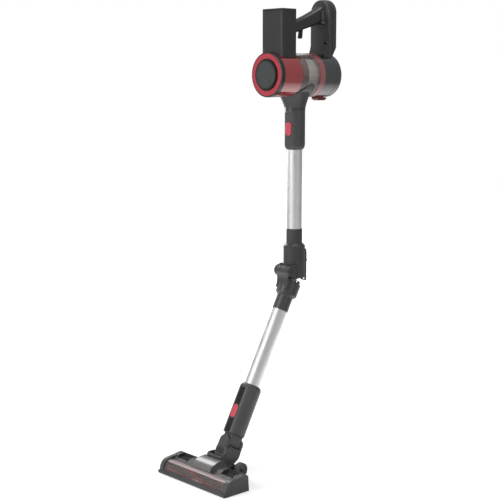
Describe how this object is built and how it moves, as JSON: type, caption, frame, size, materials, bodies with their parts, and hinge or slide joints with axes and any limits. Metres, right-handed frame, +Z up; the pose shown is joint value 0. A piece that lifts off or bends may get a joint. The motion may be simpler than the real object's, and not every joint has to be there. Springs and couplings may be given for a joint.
{
  "type": "cordless stick vacuum cleaner",
  "caption": "Cordless stick vacuum with dust barrel, handle tower, battery column, flexible wand joint and powered floor head.",
  "frame": {"origin": "middle of the floor head's flat sole, on the floor", "axes": "+Z up; forward, the way the floor head points, is -Y; +X is the object's right side"},
  "size_m": [0.253, 0.4728, 1.1878],
  "materials": {
    "board": "green circuit board",
    "bristle": "red nylon bristles",
    "cells": "sleeved cells",
    "clear": "clear smoke tinted plastic",
    "copper": "wound copper and laminations",
    "dark": "satin moulded dark grey",
    "dark_gloss": "glossy dark grey",
    "filter": "pleated filter paper",
    "mesh": "perforated steel",
    "pink": "pale rose gloss",
    "red": "glossy deep red",
    "red_matte": "satin red",
    "rubber": "black rubber",
    "silver": "satin anodised",
    "silver_plastic": "silver grey gloss",
    "smoke": "smoked clear plastic",
    "steel": "plain steel",
    "tyre": "dark rubber"
  },
  "bodies": {
    "hand_unit": {"motor_housing": "red", "bin_shell": "clear", "bin_collar": "dark", "bin_ring": "red", "rear_housing": "dark_gloss", "cyclone_cone": "dark_gloss", "mesh_filter": "mesh", "motor_can": "dark", "motor_stator": "copper", "motor_bearings": "steel", "battery_sleeve": "dark", "grip_bar": "dark", "tower_front": "dark", "tower_back": "dark", "control_board": "board", "charge_jack": "dark_gloss", "trigger_switch": "dark_gloss", "hinge_pins": "steel", "inlet_funnel": "dark", "wand_socket": "dark", "upper_tube": "silver", "flex_housing": "dark", "flex_pin": "steel", "flex_hose": "silver_plastic"},
    "filter_cap": {"filter_cap": "dark", "cap_ring": "red_matte", "cap_grille": "dark", "exhaust_filter": "filter"},
    "fan": {"motor_rotor": "steel", "impeller": "dark_gloss"},
    "rear_lid": {"rear_lid": "dark_gloss", "lid_seal": "rubber"},
    "bin_latch": {"bin_latch": "red_matte"},
    "battery_pack": {"battery_case": "dark", "battery_cells": "cells"},
    "battery_latch": {"battery_latch": "dark"},
    "trigger": {"trigger": "dark"},
    "wand_button": {"wand_button": "red_matte"},
    "flex_lever": {"flex_lever": "dark"},
    "lower_wand": {"flex_knuckle": "dark", "lower_tube": "silver", "neck_sleeve": "dark"},
    "head_button": {"head_button": "red_matte"},
    "swivel_yoke": {"swivel_yoke": "dark", "swivel_pins": "steel"},
    "floor_head": {"head_cheeks": "dark", "head_base": "dark", "head_cover": "dark", "head_window": "smoke", "head_rail": "pink", "tail_frame": "dark", "tail_pins": "steel", "brush_bearings": "steel", "brush_motor": "steel", "drive_belt": "rubber"},
    "brush_roll": {"brush_core": "dark", "brush_bristles": "bristle"},
    "drive_pulley": {"drive_pulley": "steel"},
    "wheel_left": {"wheel_left": "tyre"},
    "wheel_right": {"wheel_right": "tyre"}
  },
  "joints": [
    {"name": "flex_hinge", "type": "hinge", "parent": "hand_unit", "child": "lower_wand", "pos_m": [0, 0.281, 0.497], "axis": [-1, 0, 0], "range_deg": [-28.6, 61.4], "deforming": ["flex_hose"]},
    {"name": "neck_swivel", "type": "hinge", "parent": "lower_wand", "child": "swivel_yoke", "pos_m": [0, 0.09025, 0.07821], "axis": [0, 0.878, -0.4787], "range_deg": [-50, 50]},
    {"name": "neck_pitch", "type": "hinge", "parent": "swivel_yoke", "child": "floor_head", "pos_m": [0, 0.06201, 0.02641], "axis": [1, 0, 0], "range_deg": [-25, 46]},
    {"name": "brush_spin", "type": "hinge", "parent": "floor_head", "child": "brush_roll", "pos_m": [0, -0.0165, 0.0142], "axis": [1, 0, 0], "continuous": true},
    {"name": "drive_spin", "type": "hinge", "parent": "floor_head", "child": "drive_pulley", "pos_m": [0.09, 0.018, 0.017], "axis": [1, 0, 0], "continuous": true},
    {"name": "wheel_left_spin", "type": "hinge", "parent": "floor_head", "child": "wheel_left", "pos_m": [-0.042, 0.086, 0.019], "axis": [1, 0, 0], "continuous": true},
    {"name": "wheel_right_spin", "type": "hinge", "parent": "floor_head", "child": "wheel_right", "pos_m": [0.042, 0.086, 0.019], "axis": [1, 0, 0], "continuous": true},
    {"name": "fan_spin", "type": "hinge", "parent": "hand_unit", "child": "fan", "pos_m": [0, 0.26, 0.996], "axis": [0, -1, 0], "continuous": true},
    {"name": "trigger_pull", "type": "hinge", "parent": "hand_unit", "child": "trigger", "pos_m": [0, 0.333, 1.121], "axis": [1, 0, 0], "range_deg": [0, 12], "stiffness_Nm_per_rad": 0.4, "springref_deg": -14.32},
    {"name": "battery_slide", "type": "slide", "parent": "hand_unit", "child": "battery_pack", "axis": [0, 0, 1], "range_m": [0, 0.1]},
    {"name": "battery_latch_press", "type": "slide", "parent": "battery_pack", "child": "battery_latch", "axis": [0, -1, 0], "range_m": [0, 0.002], "stiffness_N_per_m": 150, "springref_m": -0.004},
    {"name": "lid_open", "type": "hinge", "parent": "hand_unit", "child": "rear_lid", "pos_m": [0, 0.419, 1.057], "axis": [1, 0, 0], "range_deg": [0, 75]},
    {"name": "latch_slide", "type": "slide", "parent": "hand_unit", "child": "bin_latch", "axis": [0, -1, 0], "range_m": [0, 0.005], "stiffness_N_per_m": 300, "springref_m": -0.004},
    {"name": "cap_twist", "type": "hinge", "parent": "hand_unit", "child": "filter_cap", "pos_m": [0, 0.22, 0.996], "axis": [0, -1, 0], "range_deg": [0, 25]},
    {"name": "wand_button_press", "type": "slide", "parent": "hand_unit", "child": "wand_button", "axis": [0, 1, 0], "range_m": [0, 0.0025], "stiffness_N_per_m": 300, "springref_m": -0.004},
    {"name": "head_button_press", "type": "slide", "parent": "lower_wand", "child": "head_button", "axis": [0, 0.878, -0.4787], "range_m": [0, 0.0025], "stiffness_N_per_m": 300, "springref_m": -0.004},
    {"name": "flex_lever_press", "type": "hinge", "parent": "hand_unit", "child": "flex_lever", "pos_m": [0, 0.346, 0.52], "axis": [1, 0, 0], "range_deg": [0, 6], "stiffness_Nm_per_rad": 0.5, "springref_deg": -17.19}
  ],
  "couplings": [
    {"joint": "drive_spin", "follows": "brush_spin", "ratio": 1.75}
  ]
}
